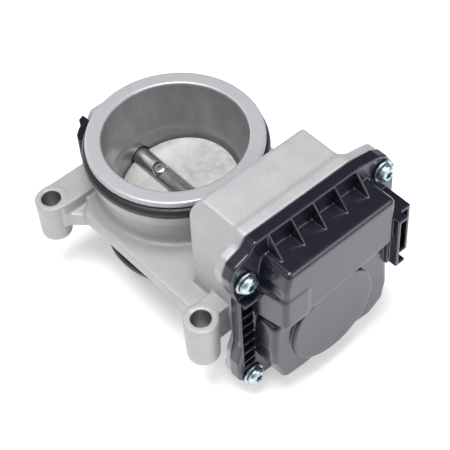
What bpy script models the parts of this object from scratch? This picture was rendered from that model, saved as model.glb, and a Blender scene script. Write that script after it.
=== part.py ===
"""Electronic throttle body for a petrol engine, as an assembly of separate pieces.

All dimensions below are millimetres, and MM turns them into Blender's metres. The origin is on the axis
of the air bore, in the plane of the mounting lugs' lower faces. +Z points up the bore to the inlet, and
+X runs along the throttle shaft to the gear cover. Pieces stand in the limp-home position, where the
return spring holds the throttle plate a few degrees open.
"""

import math

import bmesh
import bpy
from mathutils import Vector

MM = 0.001
GAP = 0.3

# Air bore
THROAT_R = 27.5
INLET_R = 31.0
RIM_R = 38.2
RIM_TOP = 45.0
INLET_GROOVE = (35.4, 42.0, 33.8)
OUTLET_GROOVE = (-14.0, -8.2, 29.4)
SPIGOT_R = 33.0
SPIGOT_END = -16.0
BORE_STEPS = 40

# Flange plate and lugs: x, y, top of the post, radius of the post
PLATE_TOP = 17.5
PLATE_BOTTOM = 11.5
LUGS = ((-27.7, -48.3, 20.5, 7.2), (66.0, -44.9, 23.0, 7.4), (62.0, 46.0, 23.0, 7.4), (-27.7, 45.0, 20.5, 7.2))
LUG_HOLE_R = 4.2

# Throttle shaft, plate and their bearings
SHAFT_Z = 11.0
SHAFT_R = 4.5
SHAFT_ENDS = (-50.4, 84.0)
CLOSED_DEG, LIMP_HOME_DEG, OPEN_DEG = 2.0, 12.0, 90.0
DISC_R = 27.1
DISC_HALF = 1.0
SCREW_X = 12.7
FAR_BEARING = (-49.0, -38.0, 8.0)
NEAR_BEARING = (46.3, 53.2, 9.2)

# Outline of the far bearing boss: y, z
FAR_BOSS = ((-9.8, 1.0), (9.8, 1.0), (9.8, 19.0), (5.6, 25.0), (-5.6, 25.0), (-9.8, 19.0))

# Gear case and cover, along X
CASE_INNER = 50.5
CAVITY_FLOOR = 53.5
CASE_RIM = 71.0
JOINT = 76.0
COVER_BACK = JOINT + GAP
COVER_RIM = 81.7
LOWER_FRONT = 93.2
DISC_FRONT = 95.1
BOX_FRONT = 97.0
COVER_WALL = 2.2

# Gear train: module and teeth of the two meshes
SECTOR_MODULE, SECTOR_TEETH, SMALL_TEETH = 1.0, 40, 12
LARGE_MODULE, LARGE_TEETH, PINION_TEETH = 0.8, 40, 10
MOTOR_YZ = (-10.0, 44.4)
MOTOR_R = 13.0
SECTOR_PLANE = (77.5, 82.0)
LARGE_PLANE = (84.2, 88.0)
SECTOR_BEFORE, SECTOR_AFTER = 2, 11

# Cover screws: y, z
COVER_SCREWS = ((-34.8, 52.0), (38.1, 58.8), (-33.1, -9.6), (40.5, 7.0), (21.5, -16.5))
SCREW_R = 2.3

# Outlines in the plane of the cover joint: y, z
COVER_FLANGE = (
    (-28.9, 69.2), (-31.7, 65.4), (-39.0, 62.6), (-41.7, 57.0), (-41.2, 50.0), (-38.0, 41.0), (-38.0, 12.0),
    (-40.5, 3.0), (-40.0, -9.0), (-34.0, -16.5), (-26.0, -16.5), (10.0, -17.5), (16.0, -22.5), (27.0, -22.5),
    (29.0, -12.0), (40.0, 0.5), (46.5, 3.0), (46.5, 12.0), (45.5, 20.0), (45.9, 56.0), (41.0, 65.0),
    (36.5, 67.5), (27.9, 69.2),
)
CASE_FLANGE = (
    (-28.4, 68.2), (-31.2, 64.4), (-38.2, 61.6), (-40.7, 56.6), (-40.2, 50.4), (-36.2, 42.0), (-34.8, 36.0),
    (-34.8, 10.0), (-37.8, 2.0), (-38.2, -8.0), (-33.4, -15.2), (-26.0, -15.2), (10.0, -16.2), (16.5, -21.5),
    (26.2, -21.5), (28.0, -11.0), (39.4, 1.4), (45.5, 4.0), (45.5, 12.0), (44.6, 20.0), (44.9, 55.6),
    (40.4, 64.0), (36.0, 66.4), (27.0, 68.2),
)
CAVITY = (
    (-23.5, 64.0), (-27.4, 56.0), (-27.4, 6.0), (-20.0, -5.0), (18.0, -5.0), (25.0, 4.0), (25.0, 64.0),
)
SEAL = (
    (-25.0, 66.2), (-29.7, 59.0), (-30.4, 20.0), (-30.6, 4.0), (-25.0, -13.4), (12.0, -13.8), (26.0, -10.6),
    (33.4, 2.0), (33.8, 20.0), (32.6, 50.0), (30.0, 62.0), (24.0, 66.2),
)
COVER_LOWER = (
    (-24.6, 42.0), (-24.6, 29.4), (-29.6, 27.0), (-30.6, 9.6), (-24.2, -10.3), (-5.6, -11.7), (9.0, -13.0),
    (13.5, -8.8), (23.7, -9.1), (29.3, -1.6), (32.3, 7.2), (31.6, 33.0), (29.8, 42.0),
)
COVER_BOX = ((-25.6, 28.7), (30.8, 34.5), (30.8, 59.8), (-25.6, 59.8))
DISC_YZ, DISC_BULGE_R = (0.0, 12.0), 21.8

# Connector: y and z ranges of the shroud, and its two front faces
PLUG_Y = (31.2, 41.8)
PLUG_Z = (19.0, 46.5)
PLUG_FRONT = (98.9, 95.1)
PLUG_BASE = 84.0
PLUG_WALL = 1.8
TERMINALS = 6
TERMINAL_PITCH = 3.6
TERMINAL_Y = 34.9


def material(name, color, metallic, roughness):
    made = bpy.data.materials.new(name)
    made.use_nodes = True
    shader = made.node_tree.nodes["Principled BSDF"]
    shader.inputs["Base Color"].default_value = (*color, 1.0)
    shader.inputs["Metallic"].default_value = metallic
    shader.inputs["Roughness"].default_value = roughness
    return made


def linked_object(name, mesh, parent):
    obj = bpy.data.objects.new(name, mesh)
    bpy.context.scene.collection.objects.link(obj)
    obj.parent = parent
    return obj


def solid(name, shape, parent=None):
    """An object from a bmesh in millimetres, closed and facing out, with sharp edges above 35 degrees."""
    bmesh.ops.recalc_face_normals(shape, faces=shape.faces)
    bmesh.ops.scale(shape, vec=(MM, MM, MM), verts=shape.verts)
    mesh = bpy.data.meshes.new(name)
    shape.to_mesh(mesh)
    shape.free()
    mesh.shade_smooth()
    mesh.set_sharp_from_angle(angle=math.radians(35))
    return linked_object(name, mesh, parent)


def node(name, shape, finish, parent=None):
    obj = solid(name, shape, parent)
    obj.data.materials.append(finish)
    return obj


def combine(target, shape, operation, label):
    """Adds a live Boolean to the target with a hidden helper made from the shape."""
    helper = solid(f"{target.name}_{label}", shape, target.parent)
    helper.hide_render = True
    helper.display_type = "WIRE"
    modifier = target.modifiers.new(label, "BOOLEAN")
    modifier.operation = operation
    modifier.solver = "EXACT"
    modifier.object = helper


def cut(target, shape, label):
    combine(target, shape, "DIFFERENCE", label)


def join(target, shape, label):
    combine(target, shape, "UNION", label)


def place(axis, along, a, b):
    """A point from its distance along an axis and its two coordinates across it."""
    return Vector((along, a, b)) if axis == "x" else Vector((a, b, along))


def prism(outline, axis, low, high):
    """A prism along X, with an outline of y and z, or along Z, with an outline of x and y."""
    shape = bmesh.new()
    first = [shape.verts.new(place(axis, low, a, b)) for a, b in outline]
    last = [shape.verts.new(place(axis, high, a, b)) for a, b in outline]
    shape.faces.new(first)
    shape.faces.new(last)
    for i in range(len(outline)):
        j = (i + 1) % len(outline)
        shape.faces.new((first[i], first[j], last[j], last[i]))
    return shape


def turned(profile, axis="x", centre=(0.0, 0.0), steps=32):
    """A turned shape from (radius, distance along the axis) points, closed on itself to make a ring.

    Where the first and last radius are 0, the shape is solid, and its two ends are flat.
    """
    shape = bmesh.new()
    flat_ends = profile[0][0] == 0.0
    rings = []
    for radius, along in profile[1:-1] if flat_ends else profile:
        ring = []
        for k in range(steps):
            angle = 2 * math.pi * k / steps
            across = centre[0] + radius * math.cos(angle), centre[1] + radius * math.sin(angle)
            ring.append(shape.verts.new(place(axis, along, *across)))
        rings.append(ring)
    pairs = list(zip(rings, rings[1:]))
    if flat_ends:
        shape.faces.new(rings[0])
        shape.faces.new(rings[-1])
    else:
        pairs.append((rings[-1], rings[0]))
    for ring, after in pairs:
        for k in range(steps):
            m = (k + 1) % steps
            shape.faces.new((ring[k], ring[m], after[m], after[k]))
    return shape


def rod(radius, low, high, axis="x", centre=(0.0, 0.0), steps=32):
    return turned(((0.0, low), (radius, low), (radius, high), (0.0, high)), axis, centre, steps)


def tube(inner, outer, low, high, axis="x", centre=(0.0, 0.0), steps=32):
    return turned(((inner, low), (outer, low), (outer, high), (inner, high)), axis, centre, steps)


def ring_of_cord(radius, along, cord, steps):
    """An O-ring round the Z axis."""
    sides = 8
    turns = [2 * math.pi * k / sides for k in range(sides)]
    return turned([(radius + cord * math.cos(t), along + cord * math.sin(t)) for t in turns], "z", (0.0, 0.0), steps)


def block(x, y, z):
    return prism(((x[0], y[0]), (x[1], y[0]), (x[1], y[1]), (x[0], y[1])), "z", *z)


def hull(points):
    shape = bmesh.new()
    for point in points:
        shape.verts.new(point)
    made = bmesh.ops.convex_hull(shape, input=shape.verts)
    spare = {g for g in made["geom_interior"] if isinstance(g, bmesh.types.BMVert)}
    bmesh.ops.delete(shape, geom=list(spare), context="VERTS")
    return shape


def rounded(outline, radius, steps=2):
    """The outline with each corner turned into an arc of the radius, or less on short sides."""
    points = []
    count = len(outline)
    for i in range(count):
        before, corner, after = (Vector(outline[(i + k) % count]) for k in (-1, 0, 1))
        back, ahead = before - corner, after - corner
        half = back.angle(ahead) / 2
        reach = min(radius / math.tan(half), 0.45 * back.length, 0.45 * ahead.length)
        bend = reach * math.tan(half)
        middle = corner + (back.normalized() + ahead.normalized()).normalized() * bend / math.sin(half)
        start = corner + back.normalized() * reach - middle
        end = corner + ahead.normalized() * reach - middle
        turn = start.angle_signed(end)
        for k in range(steps + 1):
            angle = -turn * k / steps
            c, s = math.cos(angle), math.sin(angle)
            points.append((middle.x + c * start.x - s * start.y, middle.y + s * start.x + c * start.y))
    return points


def moved_out(outline, distance):
    """The outline with each side moved out by the distance, or in where it is negative."""
    area = sum(a[0] * b[1] - b[0] * a[1] for a, b in zip(outline, outline[1:] + outline[:1]))
    side = distance if area > 0 else -distance
    points = []
    count = len(outline)
    for i in range(count):
        before, corner, after = (Vector(outline[(i + k) % count]) for k in (-1, 0, 1))
        first, second = (corner - before).normalized(), (after - corner).normalized()
        normal = Vector((first.y + second.y, -first.x - second.x)).normalized()
        points.append(tuple(corner + normal * side / max(0.3, normal.dot(Vector((first.y, -first.x))))))
    return tuple(points)


def gear_outline(module, teeth, centre=(0.0, 0.0), tooth_at=0.0, first=0, last=None, hub=0.0):
    """Straight-sided teeth with backlash. Tooth 0 is at the angle tooth_at. A sector closes round its hub."""
    pitch_r = module * teeth / 2
    step = 2 * math.pi / teeth
    corners = ((-0.36, -1.05), (-0.13, 0.66), (0.13, 0.66), (0.36, -1.05))
    last = teeth - 1 if last is None else last
    points = []
    for k in range(first, last + 1):
        for across, out in corners:
            angle = tooth_at + (k + across) * step
            radius = pitch_r + out * module
            points.append((centre[0] + radius * math.cos(angle), centre[1] + radius * math.sin(angle)))
    if hub:
        start, end = tooth_at + (last + 0.5) * step, tooth_at + (first - 0.5) * step + 2 * math.pi
        for k in range(9):
            angle = start + (end - start) * k / 8
            points.append((centre[0] + hub * math.cos(angle), centre[1] + hub * math.sin(angle)))
    return points


def idler_place():
    """The idler's axis: at the two gears' centre distances from the shaft and from the motor."""
    shaft, motor = Vector((0.0, SHAFT_Z)), Vector(MOTOR_YZ)
    to_shaft = SECTOR_MODULE * (SECTOR_TEETH + SMALL_TEETH) / 2
    to_motor = LARGE_MODULE * (LARGE_TEETH + PINION_TEETH) / 2
    apart = (motor - shaft).length
    along = (to_shaft**2 - to_motor**2 + apart**2) / (2 * apart)
    aside = math.sqrt(to_shaft**2 - along**2)
    unit = (motor - shaft) / apart
    return tuple(shaft + unit * along + Vector((unit.y, -unit.x)) * aside)


def direction(start, end):
    return math.atan2(end[1] - start[1], end[0] - start[0])


def axis_empty(name, y, z, tilt_deg=0.0):
    """An empty on a joint's axis, which its pieces are parented to."""
    empty = linked_object(name, None, None)
    empty.location = (0.0, y * MM, z * MM)
    empty.rotation_euler = (math.radians(tilt_deg), 0.0, 0.0)
    return empty


# ---------------------------------------------------------------- housing


def bore_tube():
    """Outside of the inlet rim, O-ring groove, collar, tube with its root fillet, and the outlet spigot."""
    low, high, deep = INLET_GROOVE
    out_low, out_high, out_deep = OUTLET_GROOVE
    return turned(
        (
            (0.0, SPIGOT_END), (SPIGOT_R - 1.0, SPIGOT_END), (SPIGOT_R, SPIGOT_END + 1.0),
            (SPIGOT_R, out_low), (out_deep, out_low), (out_deep, out_high), (SPIGOT_R, out_high),
            (SPIGOT_R, 2.0), (37.5, 2.0), (37.5, 14.0), (44.0, 14.0), (44.0, 17.1), (39.0, 19.6), (36.2, 26.0),
            (36.2, 31.0), (38.0, 32.0), (38.0, low), (deep, low), (deep, high), (RIM_R, high),
            (RIM_R, RIM_TOP - 0.6), (RIM_R - 0.6, RIM_TOP), (0.0, RIM_TOP),
        ),
        "z", (0.0, 0.0), BORE_STEPS,
    )


def bore_room():
    """The air passage: a funnel from the rim down to a small step, then the straight throat."""
    return turned(
        (
            (0.0, SPIGOT_END - 2.0), (THROAT_R, SPIGOT_END - 2.0), (THROAT_R, 22.0), (28.3, 22.6), (29.6, 30.0),
            (INLET_R - 0.6, 38.0), (INLET_R, RIM_TOP - 0.6), (INLET_R + 0.7, RIM_TOP + 0.1),
            (INLET_R + 0.7, RIM_TOP + 2.0), (0.0, RIM_TOP + 2.0),
        ),
        "z", (0.0, 0.0), BORE_STEPS,
    )


def shaft_room():
    """The shaft's bore with the two bearing seats, open at the outer end and into the gear case."""
    far_high, far_r = FAR_BEARING[1] + GAP, FAR_BEARING[2] + GAP
    near_low, near_r = NEAR_BEARING[0] - GAP, NEAR_BEARING[2] + GAP
    bore = SHAFT_R + GAP + 0.1
    return turned(
        (
            (0.0, -56.0), (far_r, -56.0), (far_r, far_high), (bore, far_high), (bore, near_low),
            (near_r, near_low), (near_r, CAVITY_FLOOR + 1.0), (0.0, CAVITY_FLOOR + 1.0),
        ),
        "x", (0.0, SHAFT_Z), 24,
    )


def case_shell():
    """The drafted gear case, whose inner top edge is cut back at a slant."""
    foot_x = CASE_INNER - 4.0
    return hull(
        (
            (CASE_INNER, -29.0, 68.2), (JOINT, -28.4, 68.2), (CASE_INNER, 25.6, 68.2), (JOINT, 27.0, 68.2),
            (foot_x, -31.7, 58.8), (JOINT, -31.7, 58.8), (foot_x, 28.0, 58.8), (JOINT, 28.5, 62.0),
            (foot_x, -33.0, PLATE_TOP), (JOINT - 4, -33.0, PLATE_TOP), (foot_x, 28.5, PLATE_TOP),
            (JOINT, 28.5, PLATE_TOP), (foot_x, -30.0, 3.0), (JOINT, -31.0, 3.0), (foot_x, 28.0, 3.0),
            (JOINT, 28.0, 3.0), (foot_x + 3, -21.0, -8.0), (JOINT, -22.0, -8.0), (foot_x + 3, 20.0, -8.0),
            (JOINT, 20.0, -8.0),
        )
    )


def lug(index):
    """A bolt post, and the arm that joins it to the flange plate or the case."""
    x, y, top, radius = LUGS[index]
    return turned(
        (
            (0.0, 0.0), (radius - 1.4, 0.0), (radius - 0.5, 1.0), (radius, top - 1.0), (radius - 0.8, top),
            (0.0, top),
        ),
        "z", (x, y), 20,
    )


def lug_arms():
    """Boxes from each post inwards: x range, y range, z range."""
    return (
        ((-34.6, -19.6), (-48.0, -24.0), (8.0, 20.2)),
        ((58.9, 69.6), (-45.0, -29.0), (6.0, 22.7)),
        ((55.5, 68.0), (24.0, 46.0), (6.0, 22.7)),
        ((-34.6, -19.6), (24.0, 45.0), (8.0, 20.2)),
    )


def throttle_housing(finish):
    housing = node("throttle_housing", bore_tube(), finish)
    plate = ((-13.0, -42.4), (60.0, -42.4), (62.0, -30.0), (62.0, 30.0), (34.0, 42.0), (-14.0, 42.0),
             (-32.0, 30.0), (-32.0, -30.0), (-19.0, -36.0))
    join(housing, prism(rounded(plate, 3.0), "z", PLATE_BOTTOM, PLATE_TOP), "plate")
    join(housing, case_shell(), "case")
    join(housing, prism(rounded(CASE_FLANGE, 2.5), "x", CASE_RIM, JOINT), "case_flange")
    for index, arm in enumerate(lug_arms()):
        join(housing, block(*arm), f"arm_{index + 1}")
        join(housing, lug(index), f"lug_{index + 1}")
    web = ((-25.0, -49.5), (-20.0, -47.1), (-14.2, -41.2), (-12.0, -34.0), (-25.0, -34.0))
    join(housing, prism(web, "z", 7.6, 14.8), "lug_web")
    join(housing, prism(FAR_BOSS, "x", -54.5, -30.0), "far_boss")
    join(housing, rod(12.4, 30.0, 50.0, centre=(0.0, SHAFT_Z), steps=24), "near_boss")
    for y, z in COVER_SCREWS[:3]:
        join(housing, rod(5.4, CASE_RIM - 5.0, CASE_RIM + 1.0, centre=(y, z), steps=16), "screw_boss")
    cut(housing, bore_room(), "air_bore")
    cut(housing, prism(rounded(CAVITY, 3.0), "x", CAVITY_FLOOR, JOINT + 2), "cavity")
    for y, z in motor_screws():
        join(housing, rod(3.6, CAVITY_FLOOR - 1, 71.0, centre=(y, z), steps=16), "motor_boss")
    join(housing, rod(6.0, CAVITY_FLOOR - 1, 70.8, centre=idler_place(), steps=20), "idler_boss")
    for y, z in motor_screws():
        cut(housing, rod(1.8, 60.0, 72.0, centre=(y, z), steps=12), "motor_thread")
    cut(housing, rod(2.8, 58.0, 75.0, centre=idler_place(), steps=20), "idler_socket")
    for x, y, top, _ in LUGS:
        cut(housing, rod(LUG_HOLE_R, -1.0, top + 1, "z", (x, y), 20), "bolt_hole")
    cut(housing, shaft_room(), "shaft_bore")
    for y, z in COVER_SCREWS:
        cut(housing, rod(SCREW_R + GAP, CASE_RIM - 3.0, JOINT + 1, centre=(y, z), steps=16), "cover_thread")
    for y, z in stop_places():
        cut(housing, rod(2.0 + GAP, CAVITY_FLOOR - 2.0, CAVITY_FLOOR + 1, centre=(y, z), steps=16), "stop_hole")
    return housing


# ---------------------------------------------------------------- throttle


def throttle_plate(finish, axis):
    rim = ((0.0, -DISC_HALF), (DISC_R - 0.3, -DISC_HALF), (DISC_R, 0.0), (DISC_R - 0.3, DISC_HALF), (0.0, DISC_HALF))
    plate = node("throttle_plate", turned(rim, "z", (0.0, 0.0), 40), finish, axis)
    for side in (-1, 1):
        cut(plate, rod(1.9, -3.0, 3.0, "z", (side * SCREW_X, 0.0), 12), "screw_hole")


def throttle_shaft(finish, axis):
    start, end = SHAFT_ENDS
    step = SECTOR_PLANE[1] + 1.2
    profile = ((0.0, start), (SHAFT_R - 0.5, start), (SHAFT_R, start + 0.5), (SHAFT_R, step), (3.4, step),
               (3.4, end + 2.4), (0.0, end + 2.4))
    shaft = node("throttle_shaft", turned(profile, steps=20), finish, axis)
    reach = DISC_R + 0.35
    slot = DISC_HALF + GAP
    cut(shaft, block((-reach, reach), (-8.0, 8.0), (-slot, slot)), "plate_slot")
    for side in (-1, 1):
        at = (side * SCREW_X, 0.0)
        cut(shaft, rod(1.9, -6.0, 6.0, "z", at, 12), "screw_hole")
        cut(shaft, rod(3.5, 2.9, 6.0, "z", at, 12), "screw_seat")


def plate_screws(finish, axis):
    for label, side in (("outer", -1), ("inner", 1)):
        at = (side * SCREW_X, 0.0)
        profile = ((0.0, -4.3), (1.5, -4.3), (1.5, 3.2), (3.1, 3.2), (3.1, 4.3), (2.6, 4.8), (0.0, 4.8))
        screw = node(f"plate_screw_{label}", turned(profile, "z", at, 16), finish, axis)
        cut(screw, rod(1.5, 3.9, 6.0, "z", at, 6), "drive")


def bearings(steel, housing_centre):
    low, high, radius = FAR_BEARING
    node("far_shaft_bearing", tube(SHAFT_R + GAP, radius, low, high, centre=housing_centre, steps=24), steel)
    low, high, radius = NEAR_BEARING
    node("near_shaft_bearing", tube(SHAFT_R + GAP, radius, low, high, centre=housing_centre, steps=24), steel)
    profile = ((0.0, -51.0), (8.0, -51.0), (8.0, -53.9), (7.0, -53.9), (6.6, -52.2), (0.0, -52.2))
    node("bearing_plug", turned(profile, "x", housing_centre, 24), steel)


def sector_angle():
    """The direction from the shaft to the idler, seen in the tilted frame of the throttle."""
    return direction((0.0, SHAFT_Z), idler_place()) - math.radians(LIMP_HOME_DEG)


def sector_gear(finish, axis):
    outline = gear_outline(SECTOR_MODULE, SECTOR_TEETH, tooth_at=sector_angle(), first=-SECTOR_AFTER,
                           last=SECTOR_BEFORE, hub=7.4)
    gear = node("sector_gear", prism(outline, "x", *SECTOR_PLANE), finish, axis)
    join(gear, rod(7.0, SECTOR_PLANE[0] - 5.0, SECTOR_PLANE[1] + 0.4, steps=20), "hub")
    cut(gear, rod(SHAFT_R + GAP, SECTOR_PLANE[0] - 6.0, SECTOR_PLANE[1] + 1.0, steps=20), "shaft_hole")
    for k in (1.0, 4.5, 8.0):
        angle = sector_angle() - k * 2 * math.pi / SECTOR_TEETH
        at = (12.6 * math.cos(angle), 12.6 * math.sin(angle))
        cut(gear, rod(2.6, SECTOR_PLANE[0] - 1.0, SECTOR_PLANE[1] + 1.0, centre=at, steps=12), "relief")


def sensor_magnet(finish, axis):
    end = SHAFT_ENDS[1]
    node("sensor_magnet", tube(3.4 + GAP, 7.0, end - 0.2, end + 2.4, steps=20), finish, axis)


def return_spring(finish):
    """A torsion coil round the shaft, with one leg out to the case wall and one to the sector's hub."""
    turns, start, end, radius = 5.5, 56.0, 70.5, 9.6
    steps = 12
    count = int(turns * steps) + 1
    points = []
    for k in range(count):
        angle = math.radians(-120) + 2 * math.pi * k / steps
        points.append((start + (end - start) * k / (count - 1), radius * math.cos(angle), radius * math.sin(angle)))
    first, last = Vector(points[0]), Vector(points[-1])
    points.insert(0, first + Vector((0.0, first.y, first.z)) * 0.75)
    points.append(last + Vector((4.0, last.y * 0.35, last.z * 0.35)))
    curve = bpy.data.curves.new("return_spring", "CURVE")
    curve.dimensions = "3D"
    curve.bevel_depth = 0.8 * MM
    curve.bevel_resolution = 0
    curve.use_fill_caps = True
    spline = curve.splines.new("POLY")
    spline.points.add(len(points) - 1)
    for point, (x, y, z) in zip(spline.points, points):
        point.co = (x * MM, y * MM, (z + SHAFT_Z) * MM, 1.0)
    curve.materials.append(finish)
    linked_object("return_spring", curve, None)


def stop_places():
    """The two dowels that the sector's straight edges meet when the plate is closed and fully open."""
    step = 2 * math.pi / SECTOR_TEETH
    rest = direction((0.0, SHAFT_Z), idler_place())
    edge_behind = rest - (SECTOR_AFTER + 0.5) * step - math.radians(LIMP_HOME_DEG - CLOSED_DEG)
    edge_ahead = rest + (SECTOR_BEFORE + 0.5) * step + math.radians(OPEN_DEG - LIMP_HOME_DEG)
    reach, room = 15.0, math.radians(9.5)
    return [
        (reach * math.cos(angle), SHAFT_Z + reach * math.sin(angle))
        for angle in (edge_behind - room, edge_ahead + room)
    ]


def stop_pins(finish):
    for label, (y, z) in zip(("closed", "open"), stop_places()):
        node(f"{label}_stop_pin", rod(2.0, CAVITY_FLOOR - 1.6, SECTOR_PLANE[1], centre=(y, z), steps=16), finish)


# ---------------------------------------------------------------- gears and motor


def idler_gear(finish, axis):
    toward_shaft = direction(idler_place(), (0.0, SHAFT_Z))
    toward_motor = direction(idler_place(), MOTOR_YZ)
    gap_at = toward_shaft + math.pi / SMALL_TEETH
    outline = gear_outline(LARGE_MODULE, LARGE_TEETH, tooth_at=toward_motor)
    gear = node("idler_gear", prism(outline, "x", *LARGE_PLANE), finish, axis)
    small = gear_outline(SECTOR_MODULE, SMALL_TEETH, tooth_at=gap_at)
    join(gear, prism(small, "x", SECTOR_PLANE[0] - 0.6, LARGE_PLANE[0] + 0.5), "small_gear")
    cut(gear, rod(2.8, SECTOR_PLANE[0] - 2, LARGE_PLANE[1] + 1, steps=20), "pin_hole")
    cut(gear, tube(8.0, 13.6, LARGE_PLANE[1] - 1.4, LARGE_PLANE[1] + 1, steps=16), "web_recess")


def idler_pin(finish):
    node("idler_pin", rod(2.5, 58.4, 92.0, centre=idler_place(), steps=20), finish)


def motor_screws():
    angle = math.radians(65)
    reach = MOTOR_R + 4.6
    y, z = reach * math.cos(angle), reach * math.sin(angle)
    return ((MOTOR_YZ[0] + y, MOTOR_YZ[1] + z), (MOTOR_YZ[0] - y, MOTOR_YZ[1] - z))


def motor(steel, bracket_finish, screw_finish):
    low, high, wall = 54.2, 82.4, 1.2
    profile = ((0.0, low), (MOTOR_R - 1.0, low), (MOTOR_R, low + 1.0), (MOTOR_R, high), (MOTOR_R - wall, high),
               (MOTOR_R - wall, low + wall), (0.0, low + wall))
    node("motor_can", turned(profile, "x", MOTOR_YZ, 24), steel)
    plate = bracket_outline()
    bracket = node("motor_bracket", prism(plate, "x", 71.4, 73.0), bracket_finish)
    cut(bracket, rod(MOTOR_R + GAP, 70.0, 75.0, centre=MOTOR_YZ, steps=24), "can_hole")
    for y, z in motor_screws():
        cut(bracket, rod(1.9, 70.0, 75.0, centre=(y, z), steps=16), "ear_hole")
    for index, (y, z) in enumerate(motor_screws()):
        profile = ((0.0, 61.0), (1.5, 61.0), (1.5, 73.3), (2.8, 73.3), (2.8, 74.6), (2.2, 75.2), (0.0, 75.2))
        node(f"motor_screw_{index + 1}", turned(profile, "x", (y, z), 16), screw_finish)


def bracket_outline():
    """The bracket's outline: a round plate round the can with two ears for its screws."""
    centre = Vector(MOTOR_YZ)
    points = []
    ear_at = direction(MOTOR_YZ, motor_screws()[0])
    for k in range(36):
        angle = 2 * math.pi * k / 36
        off = min(abs((angle - ear_at + math.pi) % (2 * math.pi) - math.pi),
                  abs((angle - ear_at) % (2 * math.pi) - math.pi))
        radius = MOTOR_R + 2.2 + 5.6 * math.exp(-((off / 0.22) ** 2))
        points.append((centre.x + radius * math.cos(angle), centre.y + radius * math.sin(angle)))
    return points


def rotor(steel, copper, brass, axis):
    node("motor_shaft", rod(1.5, 56.2, LARGE_PLANE[1] + 0.4, steps=16), steel, axis)
    profile = ((1.8, 58.0), (MOTOR_R - 1.8, 58.0), (MOTOR_R - 1.8, 76.0), (4.6, 76.0), (4.6, 80.5), (1.8, 80.5))
    node("motor_armature", turned(profile, steps=20), copper, axis)
    gap_at = direction(MOTOR_YZ, idler_place()) + math.pi / PINION_TEETH
    outline = gear_outline(LARGE_MODULE, PINION_TEETH, tooth_at=gap_at)
    pinion = node("motor_pinion", prism(outline, "x", *LARGE_PLANE), brass, axis)
    cut(pinion, rod(1.8, LARGE_PLANE[0] - 1, LARGE_PLANE[1] + 1, steps=16), "shaft_hole")


# ---------------------------------------------------------------- cover and electrics


def cover_gusset(y):
    """A thin triangular rib from the flange up to the top of the box."""
    shape = bmesh.new()
    corners = ((COVER_RIM - 1, 69.0), (COVER_RIM - 1, 58.0), (89.0, 58.0), (89.0, 59.9), (COVER_RIM + 0.6, 68.6))
    sides = [[shape.verts.new((x, y + half, z)) for x, z in corners] for half in (-0.7, 0.7)]
    shape.faces.new(sides[0])
    shape.faces.new(sides[1])
    for i in range(len(corners)):
        j = (i + 1) % len(corners)
        shape.faces.new((sides[0][i], sides[0][j], sides[1][j], sides[1][i]))
    return shape


def gear_cover(finish):
    cover = node("gear_cover", prism(rounded(COVER_FLANGE, 2.5), "x", COVER_BACK, COVER_RIM), finish)
    join(cover, prism(rounded(COVER_LOWER, 3.0), "x", COVER_BACK + 1, LOWER_FRONT), "lower_body")
    join(cover, prism(rounded(COVER_BOX, 1.5), "x", COVER_BACK + 2, BOX_FRONT), "box")
    join(cover, rod(DISC_BULGE_R, 90.0, DISC_FRONT, centre=DISC_YZ, steps=32), "disc")
    for y in (-21.8, -10.4, 0.9, 12.3, 23.7):
        join(cover, cover_gusset(y), "gusset")
    middle = (PLUG_Y[0] + PLUG_Y[1]) / 2
    join(cover, block((79.0, PLUG_FRONT[1]), (29.6, PLUG_Y[1]), PLUG_Z), "plug_far_half")
    join(cover, block((79.5, PLUG_FRONT[0]), (PLUG_Y[0], middle), (PLUG_Z[0] + 0.01, PLUG_Z[1] - 0.01)),
         "plug_near_half")
    join(cover, block((84.0, 92.0), (PLUG_Y[1] - 1, PLUG_Y[1] + 2.2), (28.3, 36.5)), "plug_latch")
    back = COVER_BACK - 1
    cut(cover, prism(rounded(moved_out(COVER_LOWER, -COVER_WALL), 2.0), "x", back, LOWER_FRONT - COVER_WALL),
        "lower_room")
    cut(cover, prism(rounded(moved_out(COVER_BOX, -COVER_WALL), 1.0), "x", back, BOX_FRONT - COVER_WALL), "box_room")
    cut(cover, rod(DISC_BULGE_R - COVER_WALL, 88.0, DISC_FRONT - COVER_WALL, centre=DISC_YZ, steps=32), "disc_room")
    join(cover, rod(4.6, 89.2, BOX_FRONT - 1, centre=idler_place(), steps=20), "pin_boss")
    cut(cover, rod(2.8, 88.0, 92.6, centre=idler_place(), steps=20), "pin_socket")
    cut(cover, block((PLUG_BASE, 101.0), (PLUG_Y[0] + PLUG_WALL, PLUG_Y[1] - PLUG_WALL),
                     (PLUG_Z[0] + PLUG_WALL, PLUG_Z[1] - PLUG_WALL)), "socket")
    for z in terminal_heights():
        cut(cover, block((80.0, PLUG_BASE + 1), (TERMINAL_Y - 0.75, TERMINAL_Y + 0.75), (z - 0.75, z + 0.75)),
            "terminal_hole")
    cut(cover, block((78.9, 84.0), (-36.4, -32.3), (-3.0, 40.0)), "side_channel")
    cut(cover, seal_ring(1.05, COVER_BACK - 1, COVER_BACK + 2.2), "seal_groove")
    for y, z in COVER_SCREWS:
        cut(cover, rod(SCREW_R + 0.5, COVER_BACK - 1, COVER_RIM + 1, centre=(y, z), steps=20), "screw_hole")


def seal_ring(half_width, low, high):
    """A closed band that follows the seal's path."""
    inner = rounded(moved_out(SEAL, -half_width), 4.0)
    outer = rounded(moved_out(SEAL, half_width), 5.0)
    shape = bmesh.new()
    loops = [[shape.verts.new((x, y, z)) for y, z in loop] for x, loop in
             ((low, inner), (low, outer), (high, outer), (high, inner))]
    for loop, after in zip(loops, loops[1:] + loops[:1]):
        for i in range(len(loop)):
            j = (i + 1) % len(loop)
            shape.faces.new((loop[i], loop[j], after[j], after[i]))
    return shape


def cover_seal(finish):
    node("cover_seal", seal_ring(0.7, COVER_BACK + 0.05, COVER_BACK + 1.8), finish)


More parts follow.
